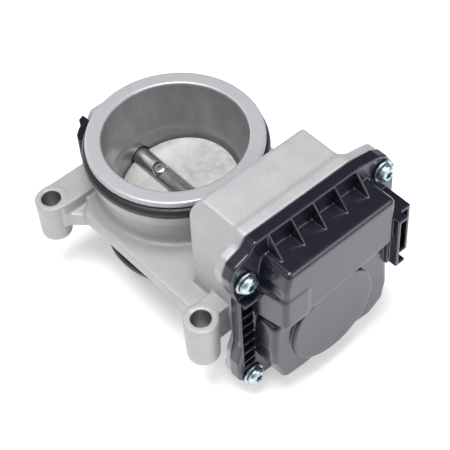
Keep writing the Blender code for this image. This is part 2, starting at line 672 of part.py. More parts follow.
def sensor_board(board_finish, chip_finish):
    outline = ((-20.0, 3.0), (14.0, 3.0), (14.0, 16.0), (25.0, 22.0), (25.0, 54.0), (-20.0, 54.0))
    board = node("sensor_board", prism(outline, "x", 88.6, 90.2), board_finish)
    cut(board, rod(5.2, 88.0, 91.0, centre=idler_place(), steps=24), "pin_clearance")
    chip = ((-5.0, SHAFT_Z - 5.0), (5.0, SHAFT_Z - 5.0), (5.0, SHAFT_Z + 5.0), (-5.0, SHAFT_Z + 5.0))
    node("sensor_chip", prism(chip, "x", 87.0, 88.3), chip_finish)


def terminal_heights():
    middle = (PLUG_Z[0] + PLUG_Z[1]) / 2
    return [middle + TERMINAL_PITCH * (k - (TERMINALS - 1) / 2) for k in range(TERMINALS)]


def terminals(finish):
    for index, z in enumerate(terminal_heights()):
        half = 0.4
        blade = block((80.4, 93.0), (TERMINAL_Y - half, TERMINAL_Y + half), (z - half, z + half))
        node(f"terminal_{index + 1}", blade, finish)


def cover_screws(finish):
    for index, (y, z) in enumerate(COVER_SCREWS):
        washer = COVER_RIM + GAP
        seat = washer + 1.1 + GAP
        node(f"cover_washer_{index + 1}", tube(SCREW_R + GAP, 4.9, washer, washer + 1.1, centre=(y, z), steps=16),
             finish)
        profile = ((0.0, CASE_RIM - 2.4), (SCREW_R, CASE_RIM - 2.4), (SCREW_R, seat), (4.0, seat), (4.0, seat + 1.4),
                   (3.3, seat + 2.6), (0.0, seat + 2.6))
        screw = node(f"cover_screw_{index + 1}", turned(profile, "x", (y, z), 16), finish)
        cut(screw, rod(1.9, seat + 0.9, seat + 4, centre=(y, z), steps=6), "drive")


def harness_clip(finish):
    """A plastic clip beside the far bearing boss: a foot with two hooked fingers."""
    outline = ((-53.8, -10.1), (-52.6, -13.3), (-49.2, -15.0), (-48.2, -16.8), (-46.0, -19.6), (-42.0, -21.8),
               (-40.9, -20.6), (-44.4, -17.6), (-45.0, -14.6), (-44.4, -10.1))
    clip = node("harness_clip", prism(outline, "z", 14.0, 25.2), finish)
    join(clip, block((-53.4, -46.0), (-10.6, -6.6), (24.3, 25.2)), "strap")


def main():
    for obj in list(bpy.data.objects):
        bpy.data.objects.remove(obj)
    aluminium = material("cast_aluminium", (0.62, 0.63, 0.64), 0.9, 0.42)
    steel = material("steel", (0.55, 0.55, 0.56), 1.0, 0.25)
    zinc = material("zinc_plated_steel", (0.6, 0.66, 0.67), 1.0, 0.3)
    brass = material("brass", (0.75, 0.6, 0.3), 1.0, 0.3)
    plastic = material("black_plastic", (0.02, 0.02, 0.024), 0.0, 0.3)
    white_plastic = material("gear_plastic", (0.75, 0.73, 0.66), 0.0, 0.45)
    rubber = material("black_rubber", (0.015, 0.015, 0.016), 0.0, 0.6)
    board = material("circuit_board", (0.02, 0.16, 0.07), 0.0, 0.5)
    copper = material("copper_windings", (0.6, 0.28, 0.15), 0.8, 0.4)
    throttle_axis = axis_empty("throttle_axis", 0.0, SHAFT_Z, LIMP_HOME_DEG)
    idler_axis = axis_empty("idler_axis", *idler_place())
    motor_axis = axis_empty("motor_axis", *MOTOR_YZ)

    throttle_housing(aluminium)
    node("inlet_o_ring", ring_of_cord(37.1, 38.7, 2.9, BORE_STEPS), rubber)
    node("outlet_o_ring", ring_of_cord(32.2, -11.1, 2.4, BORE_STEPS), rubber)
    bearings(steel, (0.0, SHAFT_Z))
    throttle_shaft(steel, throttle_axis)
    throttle_plate(aluminium, throttle_axis)
    plate_screws(zinc, throttle_axis)
    sector_gear(white_plastic, throttle_axis)
    sensor_magnet(steel, throttle_axis)
    return_spring(steel)
    stop_pins(steel)
    idler_gear(white_plastic, idler_axis)
    idler_pin(steel)
    motor(steel, steel, zinc)
    rotor(steel, copper, brass, motor_axis)
    gear_cover(plastic)
    cover_seal(rubber)
    sensor_board(board, plastic)
    terminals(brass)
    cover_screws(zinc)
    harness_clip(plastic)


main()
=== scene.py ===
"""Throttle body: visible pieces, materials, camera and lights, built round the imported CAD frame.

Shapes are worked out in millimetres and turned to metres when a mesh is made. The cast housing and the
moulded cover are signed distance fields, blended with fillets and meshed on a fine grid. The smaller
pieces are turned or extruded. Z points up the air bore and X runs along the throttle shaft to the cover.
"""

import functools
import math

import bmesh
import bpy
import numpy as np
import openvdb
from mathutils import Matrix, Vector


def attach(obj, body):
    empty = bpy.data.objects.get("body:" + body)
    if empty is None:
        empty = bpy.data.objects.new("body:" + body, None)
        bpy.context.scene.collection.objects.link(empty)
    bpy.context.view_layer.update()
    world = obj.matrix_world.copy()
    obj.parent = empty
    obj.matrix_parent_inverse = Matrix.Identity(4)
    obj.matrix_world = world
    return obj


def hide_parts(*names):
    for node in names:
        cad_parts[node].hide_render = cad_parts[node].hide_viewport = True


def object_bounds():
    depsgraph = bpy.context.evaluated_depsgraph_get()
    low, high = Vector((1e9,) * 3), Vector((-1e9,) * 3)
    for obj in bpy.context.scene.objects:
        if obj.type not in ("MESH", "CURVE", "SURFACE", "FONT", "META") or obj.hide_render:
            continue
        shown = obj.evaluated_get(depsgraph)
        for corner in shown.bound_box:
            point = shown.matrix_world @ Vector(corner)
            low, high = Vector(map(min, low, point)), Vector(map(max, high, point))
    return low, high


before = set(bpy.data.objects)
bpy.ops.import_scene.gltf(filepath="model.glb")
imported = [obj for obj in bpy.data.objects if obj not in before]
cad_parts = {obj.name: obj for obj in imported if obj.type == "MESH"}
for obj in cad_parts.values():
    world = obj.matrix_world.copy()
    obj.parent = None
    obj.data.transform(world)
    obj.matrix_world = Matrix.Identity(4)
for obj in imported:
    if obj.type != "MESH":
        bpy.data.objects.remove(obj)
cad_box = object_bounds()

MM = 0.001
SEAT_GAP = 0.3
SHARP_DEG = 38.0
HOUSING_STEP = 0.55
COVER_STEP = 0.4

# Air bore and its outside
THROAT_R = 27.5
RIM_R = 38.2
RIM_TOP = 45.0
GROOVE = (35.4, 42.0, 33.8)
SPIGOT_GROOVE = (-14.0, -8.2, 29.4)
SPIGOT_R = 33.0
SPIGOT_END = -16.0

# Flange plate and lugs: x, y, top, radius
PLATE_Z = (11.5, 17.5)
PLATE = (
    (-13.0, -42.4), (60.0, -42.4), (62.0, -30.0), (62.0, 30.0), (34.0, 42.0), (-14.0, 42.0), (-32.0, 30.0),
    (-32.0, -30.0), (-19.0, -36.0),
)
LUGS = (
    (-27.7, -48.3, 20.5, 7.2),
    (66.0, -44.9, 23.0, 7.4),
    (62.0, 46.0, 23.0, 7.4),
    (-27.7, 45.0, 20.5, 7.2),
)
LUG_HOLE_R = 4.2
LUG_DRAFT = 0.022
LUG_ARMS = (
    ((-34.6, -19.8), (-48.0, -24.0), (8.0, 20.5)),
    ((58.5, 69.0), (-45.0, -29.0), (6.0, 23.0)),
    ((55.5, 68.0), (24.0, 46.0), (6.0, 23.0)),
    ((-34.6, -19.8), (24.0, 45.0), (8.0, 20.5)),
)
LUG_WEB = ((-25.0, -49.5), (-20.0, -47.1), (-14.2, -41.2), (-12.0, -34.0), (-25.0, -34.0))
GUSSET_ANGLES = (-140, -90, -40, 40, 90, 140)
FAR_BOSS = ((-9.8, 1.0), (9.8, 1.0), (9.8, 19.0), (5.6, 25.0), (-5.6, 25.0), (-9.8, 19.0))

# Throttle shaft, plate and screws
SHAFT_Z = 11.0
SHAFT_R = 4.5
SHAFT_ENDS = (-50.4, 84.0)
REST_DEG = 12.0
DISC_R = 27.1
PLATE_SCREW_X = 12.7
STAMP = (-2.0, 8.6)

# Gear case and cover, along X
CASE_INNER = 50.5
FOOT_INNER = 46.5
CASE_TOP = 68.2
SHOULDER = 58.8
CAVITY_FLOOR = 53.5
JOINT = 76.0
COVER_BACK = 76.3
COVER_RIM = 81.7
LOWER_FRONT = 93.2
DISC_FRONT = 95.1
BOX_FRONT = 97.0
COVER_WALL = 2.2
COVER_SCREWS = ((-34.8, 52.0), (38.1, 58.8), (-33.1, -9.6), (40.5, 7.0), (21.5, -16.5))
IDLER = (8.024, 35.731)
MOTOR_SCREWS = ((-2.56, 60.35), (-17.44, 28.45))

CASE = (
    (-28.4, 68.2), (25.6, 68.2), (28.5, 62.0), (28.5, 3.0), (20.0, -8.0), (-21.0, -8.0), (-30.5, 3.0),
    (-32.4, 17.5), (-31.7, 58.8),
)
CASE_FLANGE = (
    (-28.4, 68.2), (-31.2, 64.4), (-38.2, 61.6), (-40.7, 56.6), (-40.2, 50.4), (-36.2, 42.0), (-34.8, 36.0),
    (-34.8, 10.0), (-37.8, 2.0), (-38.2, -8.0), (-33.4, -15.2), (-26.0, -15.2), (10.0, -16.2), (16.5, -21.5),
    (26.2, -21.5), (28.0, -11.0), (39.4, 1.4), (45.5, 4.0), (45.5, 12.0), (44.6, 20.0), (44.9, 55.6),
    (40.4, 64.0), (36.0, 66.4), (27.0, 68.2),
)
CAVITY = ((-23.5, 64.0), (-27.4, 56.0), (-27.4, 6.0), (-20.0, -5.0), (18.0, -5.0), (25.0, 4.0), (25.0, 64.0))
COVER_FLANGE = (
    (-28.9, 69.2), (-31.7, 65.4), (-39.0, 62.6), (-41.7, 57.0), (-41.2, 50.0), (-38.0, 41.0), (-38.0, 12.0),
    (-40.5, 3.0), (-40.0, -9.0), (-34.0, -16.5), (-26.0, -16.5), (10.0, -17.5), (16.0, -22.5), (27.0, -22.5),
    (29.0, -12.0), (40.0, 0.5), (46.5, 3.0), (46.5, 12.0), (45.5, 20.0), (45.9, 56.0), (41.0, 65.0),
    (36.5, 67.5), (27.9, 69.2),
)
COVER_LOWER = (
    (-24.6, 42.0), (-24.6, 29.4), (-30.2, 26.8), (-31.0, 11.5), (-30.7, 4.1), (-25.0, -10.6), (-15.4, -11.6),
    (-1.7, -11.0), (12.3, -10.2), (23.1, -11.6), (31.6, -6.2), (33.4, 3.7), (32.5, 17.8), (31.6, 33.0),
    (29.8, 42.0),
)
COVER_BOX = ((-28.0, 28.2), (31.1, 34.2), (31.1, 60.1), (-25.6, 60.1), (-27.6, 52.0))
COVER_WEDGE = ((77.0, -30.9), (83.0, -30.7), (96.8, -28.0), (96.8, -15.0), (77.0, -15.0))
WEDGE_Z = (28.8, 46.0)
DISC_YZ = (0.0, 12.0)
DISC_BULGE_R = 21.8
GUSSETS_Y = (-21.8, -10.4, 0.9, 12.3, 23.7)
GUSSET_HALF = 0.55
CHANNEL_Y, CHANNEL_Z = (-36.4, -31.0), (-3.5, 40.5)
RIB_PITCH, RIB_HALF = 5.9, 0.45
SEAL_LINE = (
    (-25.0, 66.2), (-29.7, 59.0), (-30.4, 20.0), (-30.6, 4.0), (-25.0, -13.4), (12.0, -13.8), (26.0, -10.6),
    (33.4, 2.0), (33.8, 20.0), (32.6, 50.0), (30.0, 62.0), (24.0, 66.2),
)
DISC_NOTCHES = ((-12.4, 28.2), (12.6, 30.8))
DISC_PIP = (0.2, 30.6)

# Connector
PLUG_Y, PLUG_Z = (31.2, 41.8), (19.0, 46.5)
PLUG_FRONT = (98.9, 95.1)
PLUG_WALL = 1.5
PLUG_BASE = 84.0
PIN_Y, PIN_HALF, PIN_PITCH, PINS = 34.9, 0.4, 3.6, 6

# O-rings: name, centre radius, height, cord radius
O_RINGS = (("inlet_o_ring", 37.1, 38.7, 2.85), ("outlet_o_ring", 32.2, -11.1, 2.35))

CAMERA_AT = (329.2, -241.4, 466.5)
CAMERA_RIGHT = (0.6652, 0.7455, -0.0430)
CAMERA_UP = (-0.5520, 0.5289, 0.6447)
CAMERA_LENS = 112.0
DARK_SKY = (-0.503, 0.405, 0.764)


# ---------------------------------------------------------------- distance fields


class Grid:
    """Sample points of a box, as three arrays that broadcast against each other."""

    def __init__(self, low, high, step):
        self.low, self.step = low, step
        axes = [np.arange(a, b + step, step, dtype=np.float32) for a, b in zip(low, high)]
        self.x, self.y, self.z = np.meshgrid(*axes, indexing="ij", sparse=True)


def disc(u, v, centre, radius):
    return np.hypot(u - centre[0], v - centre[1]) - radius


def polygon(u, v, points, corner=0.0):
    """Signed distance to a polygon in the plane of u and v, with its corners rounded."""
    if corner:
        points = inset(points, corner)
    nearest = np.float32(1e9)
    sign = np.float32(1.0)
    for (au, av), (bu, bv) in zip(points, points[1:] + points[:1]):
        eu, ev = bu - au, bv - av
        wu, wv = u - au, v - av
        t = np.clip((wu * eu + wv * ev) / (eu * eu + ev * ev), 0.0, 1.0)
        nearest = np.minimum(nearest, (wu - eu * t) ** 2 + (wv - ev * t) ** 2)
        above, below, left = v >= av, v < bv, eu * wv > ev * wu
        crossing = (above & below & left) | (~above & ~below & ~left)
        sign = np.where(crossing, -sign, sign)
    return (sign * np.sqrt(nearest) - corner).astype(np.float32)


def inset(points, distance):
    """The polygon with each side moved in by the distance."""
    area = sum(a[0] * b[1] - b[0] * a[1] for a, b in zip(points, points[1:] + points[:1]))
    side = -distance if area > 0 else distance
    moved = []
    for i, corner in enumerate(points):
        before, after = Vector(points[i - 1]), Vector(points[(i + 1) % len(points)])
        corner = Vector(corner)
        first, second = (corner - before).normalized(), (after - corner).normalized()
        normal = Vector((first.y + second.y, -first.x - second.x)).normalized()
        moved.append(tuple(corner + normal * side / max(0.35, normal.dot(Vector((first.y, -first.x))))))
    return tuple(moved)


def between(along, low, high):
    return np.maximum(low - along, along - high)


def extruded(flat, along, low, high, edge=0.0):
    """A flat field extruded along the third direction, with its rim edges rounded."""
    over = between(along, low + edge, high - edge)
    flat = flat + edge
    outside = np.hypot(np.maximum(flat, 0.0), np.maximum(over, 0.0))
    return np.minimum(np.maximum(flat, over), 0.0) + outside - edge


def cuboid(grid, x, y, z, edge=0.0):
    flat = polygon(grid.x, grid.y, ((x[0], y[0]), (x[1], y[0]), (x[1], y[1]), (x[0], y[1])), edge)
    return extruded(flat, grid.z, z[0], z[1], edge)


def revolved(grid, profile, step=0.1, reach=120.0):
    """A turned shape round Z from a closed outline of (radius, height), through a table of its section."""
    radii = np.arange(0.0, reach, step, dtype=np.float32)[:, None]
    table = polygon(radii, grid.z[0], profile)
    place = np.hypot(grid.x, grid.y)[:, :, 0] / step
    row = place.astype(np.int32)
    part = (place - row)[:, :, None]
    return table[row] * (1.0 - part) + table[row + 1] * part


def blended(a, b, fillet):
    """Union with a concave fillet."""
    near = np.maximum(fillet - np.abs(a - b), 0.0)
    return np.minimum(a, b) - near * near * (0.25 / fillet)


def carved(a, b, edge=0.4):
    """The first field less the second, with a small round on the edge."""
    return -blended(-a, b, edge)


def joined(fields):
    """Plain union of several fields."""
    return functools.reduce(np.minimum, fields)


# ---------------------------------------------------------------- meshes


def piece_from(name, mesh, body, slot, *materials):
    obj = bpy.data.objects.new(name, mesh)
    bpy.context.scene.collection.objects.link(obj)
    for finish in materials:
        mesh.materials.append(finish)
    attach(obj, body)
    return obj


def surface_mesh(name, field, grid, sheets=None):
    """Meshes the zero surface of a field. sheets gives each face's material from its centre, in mm."""
    band = 3.0 * grid.step
    volume = openvdb.FloatGrid()
    volume.background = band
    volume.copyFromArray(np.ascontiguousarray(np.clip(field, -band, band), dtype=np.float32))
    points, quads = volume.convertToQuads(0.0)
    points = np.array(grid.low, np.float32) + points * grid.step
    quads = quads[:, ::-1].astype(np.int32)
    mesh = bpy.data.meshes.new(name)
    mesh.vertices.add(len(points))
    mesh.vertices.foreach_set("co", (points * MM).ravel())
    mesh.loops.add(4 * len(quads))
    mesh.loops.foreach_set("vertex_index", quads.ravel())
    mesh.polygons.add(len(quads))
    mesh.polygons.foreach_set("loop_start", np.arange(0, 4 * len(quads), 4, dtype=np.int32))
    mesh.polygons.foreach_set("loop_total", np.full(len(quads), 4, np.int32))
    if sheets:
        mesh.polygons.foreach_set("material_index", sheets(points[quads].mean(axis=1)).astype(np.int32))
    mesh.update(calc_edges=True)
    mesh.validate()
    mesh.shade_smooth()
    return mesh


def at(axis, along, a, b):
    return (along, a, b) if axis == "x" else (a, b, along)


def turned(name, profile, axis="x", centre=(0.0, 0.0), steps=96, tilt=0.0):
    """A turned mesh from (radius, distance along the axis). A radius of 0 at both ends closes them flat."""
    shape = bmesh.new()
    turns = [2 * math.pi * k / steps for k in range(steps)]
    rings = [
        [shape.verts.new(at(axis, along, centre[0] + radius * math.cos(t), centre[1] + radius * math.sin(t)))
         for t in turns]
        for radius, along in profile if radius
    ]
    pairs = list(zip(rings, rings[1:]))
    if profile[0][0]:
        pairs.append((rings[-1], rings[0]))
    else:
        shape.faces.new(rings[0])
        shape.faces.new(rings[-1])
    for ring, after in pairs:
        for k in range(steps):
            m = (k + 1) % steps
            shape.faces.new((ring[k], ring[m], after[m], after[k]))
    return finished_mesh(name, shape, tilt)


def extrusion(name, outline, axis, low, high, tilt=0.0):
    shape = bmesh.new()
    ends = [[shape.verts.new(at(axis, along, a, b)) for a, b in outline] for along in (low, high)]
    shape.faces.new(ends[0])
    shape.faces.new(ends[1])
    for i in range(len(outline)):
        j = (i + 1) % len(outline)
        shape.faces.new((ends[0][i], ends[0][j], ends[1][j], ends[1][i]))
    return finished_mesh(name, shape, tilt)


def finished_mesh(name, shape, tilt=0.0):
    """Mesh data in metres, facing out. tilt turns it about the shaft, in degrees."""
    bmesh.ops.recalc_face_normals(shape, faces=shape.faces)
    if tilt:
        lift = Matrix.Translation((0.0, 0.0, SHAFT_Z))
        turn = Matrix.Rotation(math.radians(tilt), 4, "X")
        bmesh.ops.transform(shape, matrix=lift @ turn, verts=shape.verts)
    bmesh.ops.scale(shape, vec=(MM, MM, MM), verts=shape.verts)
    mesh = bpy.data.meshes.new(name)
    shape.to_mesh(mesh)
    shape.free()
    mesh.shade_smooth()
    mesh.set_sharp_from_angle(angle=math.radians(SHARP_DEG))
    return mesh


def bevelled(obj, width, segments=3):
    bevel = obj.modifiers.new("edge_round", "BEVEL")
    bevel.width = width * MM
    bevel.segments = segments
    bevel.limit_method = "ANGLE"
    bevel.angle_limit = math.radians(SHARP_DEG)
    bevel.harden_normals = True
    return obj


def cut(obj, *tools):
    """Cuts tool meshes out of a piece, and marks the hard edges that this leaves."""
    helpers = []
    for mesh in tools:
        helper = bpy.data.objects.new("cutter", mesh)
        bpy.context.scene.collection.objects.link(helper)
        boolean = obj.modifiers.new("cut", "BOOLEAN")
        boolean.operation = "DIFFERENCE"
        boolean.solver = "EXACT"
        boolean.object = helper
        helpers.append(helper)
    graph = bpy.context.evaluated_depsgraph_get()
    result = bpy.data.meshes.new_from_object(obj.evaluated_get(graph), depsgraph=graph)
    obj.modifiers.clear()
    obj.data = result
    for helper in helpers:
        bpy.data.objects.remove(helper)
    result.shade_smooth()
    result.set_sharp_from_angle(angle=math.radians(SHARP_DEG))


# ---------------------------------------------------------------- materials


class Finish:
    """A Principled material with textures that follow the piece's own coordinates."""

    def __init__(self, name, color, metallic, roughness):
        self.material = bpy.data.materials.new(name)
        self.material.use_nodes = True
        self.tree = self.material.node_tree
        self.shader = self.tree.nodes["Principled BSDF"]
        self.place = self.tree.nodes.new("ShaderNodeTexCoord")
        self.bump = None
        self.color = color
        self.set("Base Color", (*color, 1.0))
        self.set("Metallic", metallic)
        self.set("Roughness", roughness)

    def set(self, socket, value):
        self.shader.inputs[socket].default_value = value

    def noise(self, feature_mm, detail=3.0, roughness=0.6, stretch=(1.0, 1.0, 1.0)):
        mapping = self.tree.nodes.new("ShaderNodeMapping")
        mapping.inputs["Scale"].default_value = stretch
        self.tree.links.new(self.place.outputs["Object"], mapping.inputs["Vector"])
        texture = self.tree.nodes.new("ShaderNodeTexNoise")
        texture.inputs["Scale"].default_value = 1.0 / (feature_mm * MM)
        texture.inputs["Detail"].default_value = detail
        texture.inputs["Roughness"].default_value = roughness
        self.tree.links.new(mapping.outputs["Vector"], texture.inputs["Vector"])
        return texture.outputs["Fac"]

    def rings(self, pitch_mm, centre_mm, axis="Z"):
        """Turning marks: rings round an axis."""
        mapping = self.tree.nodes.new("ShaderNodeMapping")
        mapping.inputs["Location"].default_value = [-c * MM for c in centre_mm]
        self.tree.links.new(self.place.outputs["Object"], mapping.inputs["Vector"])
        wave = self.tree.nodes.new("ShaderNodeTexWave")
        wave.wave_type = "RINGS"
        wave.rings_direction = axis
        wave.inputs["Scale"].default_value = 0.314 / (pitch_mm * MM)
        wave.inputs["Distortion"].default_value = 0.6
        wave.inputs["Detail"].default_value = 2.0
        self.tree.links.new(mapping.outputs["Vector"], wave.inputs["Vector"])
        return wave.outputs["Fac"]

    def vary_color(self, factor, dark, light):
        mix = self.tree.nodes.new("ShaderNodeMix")
        mix.data_type = "RGBA"
        mix.inputs["A"].default_value = (*[c * dark for c in self.color], 1.0)
        mix.inputs["B"].default_value = (*[min(1.0, c * light) for c in self.color], 1.0)
        self.tree.links.new(self.spread(factor), mix.inputs["Factor"])
        self.tree.links.new(mix.outputs["Result"], self.shader.inputs["Base Color"])

    def vary_roughness(self, factor, low, high):
        spread = self.tree.nodes.new("ShaderNodeMapRange")
        spread.inputs["From Min"].default_value = 0.35
        spread.inputs["From Max"].default_value = 0.65
        spread.inputs["To Min"].default_value = low
        spread.inputs["To Max"].default_value = high
        self.tree.links.new(factor, spread.inputs["Value"])
        self.tree.links.new(spread.outputs["Result"], self.shader.inputs["Roughness"])

    def spread(self, factor):
        """The middle of a noise stretched to the whole range."""
        ramp = self.tree.nodes.new("ShaderNodeMapRange")
        ramp.inputs["From Min"].default_value = 0.35
        ramp.inputs["From Max"].default_value = 0.65
        self.tree.links.new(factor, ramp.inputs["Value"])
        return ramp.outputs["Result"]

    def relief(self, height, depth_mm, strength=1.0):
        bump = self.tree.nodes.new("ShaderNodeBump")
        bump.inputs["Distance"].default_value = depth_mm * MM
        bump.inputs["Strength"].default_value = strength
        self.tree.links.new(height, bump.inputs["Height"])
        if self.bump:
            self.tree.links.new(self.bump.outputs["Normal"], bump.inputs["Normal"])
        self.bump = bump
        self.tree.links.new(bump.outputs["Normal"], self.shader.inputs["Normal"])


def cast_aluminium():
    finish = Finish("cast_aluminium", (0.40, 0.40, 0.412), 0.35, 0.48)
    finish.vary_color(finish.noise(0.55, 4.0), 0.88, 1.08)
    finish.vary_roughness(finish.noise(9.0, 3.0), 0.44, 0.58)
    finish.relief(finish.noise(0.6, 3.0), 0.16, 0.55)
    finish.relief(finish.noise(6.0, 2.0), 0.25, 0.25)
    return finish.material


def machined_rim():
    finish = Finish("machined_aluminium", (0.45, 0.443, 0.475), 0.35, 0.38)
    finish.vary_color(finish.noise(3.0, 3.0), 0.97, 1.03)
    finish.relief(finish.rings(0.35, (0.0, 0.0, 0.0)), 0.01, 0.5)
    return finish.material


def bored_wall():
    finish = Finish("bored_aluminium", (0.27, 0.27, 0.275), 0.5, 0.4)
    finish.vary_color(finish.noise(7.0, 4.0, stretch=(1.0, 1.0, 0.5)), 0.9, 1.1)
    finish.relief(finish.noise(0.5, 3.0, stretch=(0.4, 0.4, 3.0)), 0.04, 0.4)
    return finish.material


def hole_wall():
    finish = Finish("drilled_aluminium", (0.30, 0.30, 0.31), 0.85, 0.4)
    finish.relief(finish.noise(0.3, 2.0, stretch=(0.3, 0.3, 3.0)), 0.03, 0.4)
    return finish.material


def turned_plate():
    finish = Finish("throttle_plate_metal", (0.50, 0.495, 0.49), 0.5, 0.36)
    finish.vary_color(finish.noise(5.0, 5.0), 0.93, 1.06)
    finish.vary_roughness(finish.noise(3.0, 3.0), 0.3, 0.46)
    finish.relief(finish.noise(0.4, 2.0, stretch=(4.0, 0.4, 1.0)), 0.02, 0.4)
    return finish.material


def ground_steel(name="ground_steel", color=(0.52, 0.52, 0.53)):
    finish = Finish(name, color, 1.0, 0.26)
    finish.vary_color(finish.noise(4.0, 3.0), 0.88, 1.08)
    finish.relief(finish.noise(0.3, 2.0, stretch=(6.0, 0.3, 0.3)), 0.015, 0.4)
    return finish.material


def zinc():
    finish = Finish("bright_zinc", (0.42, 0.52, 0.55), 0.95, 0.25)
    finish.vary_color(finish.noise(1.6, 4.0), 0.85, 1.12)
    finish.vary_roughness(finish.noise(0.8, 2.0), 0.2, 0.36)
    finish.relief(finish.noise(0.5, 2.0), 0.03, 0.4)
    return finish.material


def moulded_black(name="black_plastic", roughness=0.24):
    finish = Finish(name, (0.009, 0.009, 0.016), 0.0, roughness)
    finish.set("IOR", 1.52)
    finish.set("Coat Weight", 0.25)
    finish.set("Coat Roughness", 0.12)
    finish.set("Specular Tint", (0.86, 0.86, 1.0, 1.0))
    finish.vary_roughness(finish.noise(6.0, 2.0), roughness - 0.02, roughness + 0.03)
    finish.relief(finish.noise(1.4, 1.0), 0.006, 0.1)
    return finish.material


def rubber():
    finish = Finish("black_rubber", (0.008, 0.008, 0.009), 0.0, 0.4)
    finish.vary_roughness(finish.noise(2.0, 3.0), 0.34, 0.52)
    finish.relief(finish.noise(0.3, 2.0), 0.02, 0.3)
    return finish.material


def plain(name, color, metallic, roughness, grain_mm):
    """For the pieces inside the case."""
    finish = Finish(name, color, metallic, roughness)
    finish.vary_color(finish.noise(grain_mm, 3.0), 0.86, 1.08)
    finish.relief(finish.noise(grain_mm * 0.4, 2.0), 0.02, 0.4)
    return finish.material


CAST = cast_aluminium()
RIM = machined_rim()
BORE = bored_wall()
HOLE = hole_wall()
DISC_METAL = turned_plate()
STEEL = ground_steel()
SHAFT_METAL = ground_steel("shaft_steel", (0.58, 0.57, 0.565))
ZINC = zinc()
BLACK = moulded_black()
RUBBER = rubber()
BRASS = plain("terminal_brass", (0.72, 0.56, 0.28), 1.0, 0.3, 1.0)


# ---------------------------------------------------------------- housing


def bore_outside(grid):
    low, high, deep = GROOVE
    out_low, out_high, out_deep = SPIGOT_GROOVE
    return revolved(grid, (
        (0.0, SPIGOT_END), (SPIGOT_R - 0.6, SPIGOT_END), (SPIGOT_R, SPIGOT_END + 0.6), (SPIGOT_R, out_low),
        (out_deep, out_low), (out_deep, out_high), (SPIGOT_R, out_high), (SPIGOT_R, 2.0), (35.6, 3.0),
        (35.6, 29.2), (37.2, 30.4), (38.0, 31.0), (38.0, low), (deep, low), (deep, high), (RIM_R, high),
        (RIM_R, RIM_TOP - 0.5), (RIM_R - 0.5, RIM_TOP), (0.0, RIM_TOP),
    ))


def tube_foot(grid):
    """The stretch of the tube that blends into the flange plate."""
    return revolved(grid, ((0.0, 2.0), (35.9, 2.0), (35.6, 27.0), (0.0, 27.0)))


def bore_space(grid):
    return revolved(grid, (
        (0.0, SPIGOT_END - 4.0), (THROAT_R + 0.5, SPIGOT_END - 4.0), (THROAT_R + 0.5, SPIGOT_END + 0.4),
        (THROAT_R, SPIGOT_END + 1.0), (THROAT_R, 20.6), (28.6, 22.6), (29.6, 30.0), (30.4, 38.0),
        (31.0, 44.4), (31.7, 45.1), (31.7, 50.0), (0.0, 50.0),
    ))


def gear_case(grid):
    """The case, with a large round on its inner top edge and softly rounded other edges."""
    edge = 1.3
    flat = polygon(grid.y, grid.z, CASE, 1.5) + edge
    slant = np.clip((CASE_TOP - grid.z) / (CASE_TOP - SHOULDER), 0.0, 1.0)
    inner = CASE_INNER - (CASE_INNER - FOOT_INNER) * np.sin(slant * math.pi / 2)
    depth = np.maximum(inner + edge - grid.x, grid.x - JOINT)
    outside = np.hypot(np.maximum(flat, 0.0), np.maximum(depth, 0.0))
    return np.minimum(np.maximum(flat, depth), 0.0) + outside - edge


def case_flare(grid):
    """The rim of the case, which swells out to the two upper screw ears."""
    rim = extruded(polygon(grid.y, grid.z, CASE_FLANGE, 2.5), grid.x, 71.6, JOINT, 0.5)
    for y, z in COVER_SCREWS[:3]:
        ear = extruded(disc(grid.y, grid.z, (y, z), 5.4), grid.x, 70.2, JOINT, 1.2)
        rim = blended(rim, ear, 1.5)
    return rim


def lugs(grid):
    """The four posts with their arms."""
    posts = []
    for (x, y, top, radius), arm in zip(LUGS, LUG_ARMS):
        drafted = radius - LUG_DRAFT * (top - grid.z)
        post = extruded(np.hypot(grid.x - x, grid.y - y) - drafted, grid.z, 0.0, top, 0.6)
        posts.append(blended(post, cuboid(grid, *arm, 0.5), 0.8))
    return joined(posts)


def plate_and_webs(grid):
    plate = extruded(polygon(grid.x, grid.y, PLATE, 3.0), grid.z, *PLATE_Z, 0.9)
    web = polygon(grid.x, grid.y, LUG_WEB, 1.0)
    plate = blended(plate, extruded(web, grid.z, 7.6, 14.8, 0.8), 1.2)
    for angle in GUSSET_ANGLES:
        u = grid.x * math.cos(math.radians(angle)) + grid.y * math.sin(math.radians(angle))
        v = grid.y * math.cos(math.radians(angle)) - grid.x * math.sin(math.radians(angle))
        gusset = polygon(u, grid.z, ((32.0, 1.0), (34.5, 1.0), (40.0, 12.0), (32.0, 12.0)))
        plate = blended(plate, np.maximum(gusset, np.abs(v) - 1.6), 1.5)
    return plate


def shaft_bosses(grid):
    far = extruded(polygon(grid.y, grid.z, FAR_BOSS, 1.5), grid.x, -54.5, -30.0, 1.0)
    near = extruded(disc(grid.y, grid.z, (0.0, SHAFT_Z), 12.4), grid.x, 30.0, 50.0)
    return np.minimum(far, near)


def case_space(grid):
    """The gear room with its motor and idler bosses standing in it."""
    room = extruded(polygon(grid.y, grid.z, CAVITY, 3.0), grid.x, CAVITY_FLOOR, JOINT + 6.0, 0.8)
    idler = extruded(disc(grid.y, grid.z, IDLER, 6.0), grid.x, 40.0, 70.8)
    room = -blended(-room, idler, 1.0)
    for place in MOTOR_SCREWS:
        boss = extruded(disc(grid.y, grid.z, place, 3.6), grid.x, 40.0, 71.0)
        room = -blended(-room, boss, 1.0)
    return room


